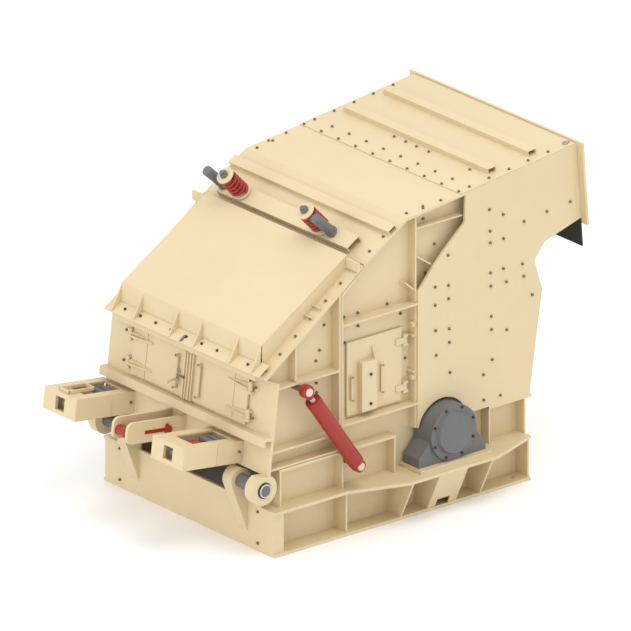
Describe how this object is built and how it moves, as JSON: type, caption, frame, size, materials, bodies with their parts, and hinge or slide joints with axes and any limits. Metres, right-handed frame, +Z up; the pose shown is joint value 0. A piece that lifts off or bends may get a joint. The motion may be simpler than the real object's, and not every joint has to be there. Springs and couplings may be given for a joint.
{
  "type": "impact crusher",
  "caption": "Horizontal shaft impact crusher: steel base, sloping housing, hinged front frame with doors, ram-opened, rotor in side bearings.",
  "frame": {"origin": "centre of the four base bolt holes, at floor level", "axes": "+X towards the feed hood, -Y towards the covered bearing, +Z up"},
  "size_m": [3.6869, 2.475, 2.624],
  "materials": {
    "cream_paint": "satin",
    "red_paint": "gloss",
    "grey_paint": "satin",
    "dark_steel": "satin",
    "bright_steel": "satin",
    "wear_iron": "rough",
    "black_rubber": "matte"
  },
  "bodies": {
    "main_frame": {"base_side_near": "cream_paint", "base_side_far": "cream_paint", "base_front_plate": "cream_paint", "base_rear_plate": "cream_paint", "base_hinge_ears": "cream_paint", "bearing_pedestal_near": "cream_paint", "bearing_pedestal_far": "cream_paint", "housing_side_near": "cream_paint", "housing_side_far": "cream_paint", "feed_side_plate_near": "cream_paint", "feed_side_plate_far": "cream_paint", "roof_plate": "cream_paint", "roof_ribs": "cream_paint", "upper_slope_plate": "cream_paint", "spring_beam": "cream_paint", "spring_caps": "cream_paint", "feed_end_flange": "cream_paint", "rear_wall": "cream_paint", "feed_chute": "cream_paint", "cylinder_base_pins": "cream_paint", "bearing_housing_near": "grey_paint", "bearing_housing_far": "grey_paint", "bearing_cover_near": "grey_paint", "bearing_cover_far": "grey_paint", "hinge_pins": "dark_steel", "guide_tubes": "dark_steel", "spring_rods": "bright_steel", "springs": "red_paint", "upper_apron": "wear_iron", "feed_curtain": "black_rubber"},
    "rotor": {"rotor_shaft": "bright_steel", "rotor_body": "wear_iron", "blow_bars": "wear_iron"},
    "swing_frame": {"swing_side_near": "cream_paint", "swing_side_far": "cream_paint", "swing_front_wall": "cream_paint", "swing_ledge": "cream_paint", "slope_cover": "cream_paint", "swing_hinge_ears": "cream_paint", "adjuster_box_near": "cream_paint", "adjuster_box_far": "cream_paint", "adjuster_centre_bracket": "cream_paint", "cylinder_swing_pins": "cream_paint", "adjuster_rods": "dark_steel", "adjuster_ram": "red_paint", "lower_apron": "wear_iron"},
    "front_door_near": {"front_door_near": "cream_paint"},
    "front_door_far": {"front_door_far": "cream_paint"},
    "side_door_near": {"side_door_near": "cream_paint"},
    "side_door_far": {"side_door_far": "cream_paint"},
    "cylinder_barrel_near": {"cylinder_barrel_near": "red_paint"},
    "cylinder_barrel_far": {"cylinder_barrel_far": "red_paint"},
    "cylinder_rod_near": {"cylinder_rod_near": "bright_steel"},
    "cylinder_rod_far": {"cylinder_rod_far": "bright_steel"}
  },
  "joints": [
    {"name": "rotor_spin", "type": "hinge", "parent": "main_frame", "child": "rotor", "pos_m": [0.44, 0, 0.62], "axis": [0, 1, 0], "continuous": true},
    {"name": "swing_frame_hinge", "type": "hinge", "parent": "main_frame", "child": "swing_frame", "pos_m": [-1.324, 0, 0.556], "axis": [0, -1, 0], "range_deg": [0, 50]},
    {"name": "front_door_near_hinge", "type": "hinge", "parent": "swing_frame", "child": "front_door_near", "pos_m": [-1.25033, -0.722, 1.17704], "axis": [0.1219, 0, 0.9925], "range_deg": [0, 110]},
    {"name": "front_door_far_hinge", "type": "hinge", "parent": "swing_frame", "child": "front_door_far", "pos_m": [-1.25033, 0.722, 1.17704], "axis": [-0.1219, 0, -0.9925], "range_deg": [0, 110]},
    {"name": "side_door_near_hinge", "type": "hinge", "parent": "main_frame", "child": "side_door_near", "pos_m": [0.124, -0.894, 1.2], "axis": [0, 0, 1], "range_deg": [0, 100]},
    {"name": "side_door_far_hinge", "type": "hinge", "parent": "main_frame", "child": "side_door_far", "pos_m": [0.124, 0.894, 1.2], "axis": [0, 0, -1], "range_deg": [0, 100]},
    {"name": "cylinder_barrel_near_pivot", "type": "hinge", "parent": "main_frame", "child": "cylinder_barrel_near", "pos_m": [-0.446, -1.034, 0.554], "axis": [0, -1, 0], "range_deg": [-1, 30]},
    {"name": "cylinder_rod_near_pivot", "type": "hinge", "parent": "swing_frame", "child": "cylinder_rod_near", "pos_m": [-0.951, -1.034, 1.282], "axis": [0, -1, 0], "range_deg": [-35, 1]},
    {"name": "cylinder_barrel_far_pivot", "type": "hinge", "parent": "main_frame", "child": "cylinder_barrel_far", "pos_m": [-0.446, 1.034, 0.554], "axis": [0, -1, 0], "range_deg": [-1, 30]},
    {"name": "cylinder_rod_far_pivot", "type": "hinge", "parent": "swing_frame", "child": "cylinder_rod_far", "pos_m": [-0.951, 1.034, 1.282], "axis": [0, -1, 0], "range_deg": [-35, 1]}
  ],
  "couplings": [
    {"joint": "cylinder_barrel_near_pivot", "follows": "swing_frame_hinge", "ratio": 0.4567},
    {"joint": "cylinder_rod_near_pivot", "follows": "swing_frame_hinge", "ratio": -0.5433},
    {"joint": "cylinder_barrel_far_pivot", "follows": "swing_frame_hinge", "ratio": 0.4567},
    {"joint": "cylinder_rod_far_pivot", "follows": "swing_frame_hinge", "ratio": -0.5433}
  ]
}
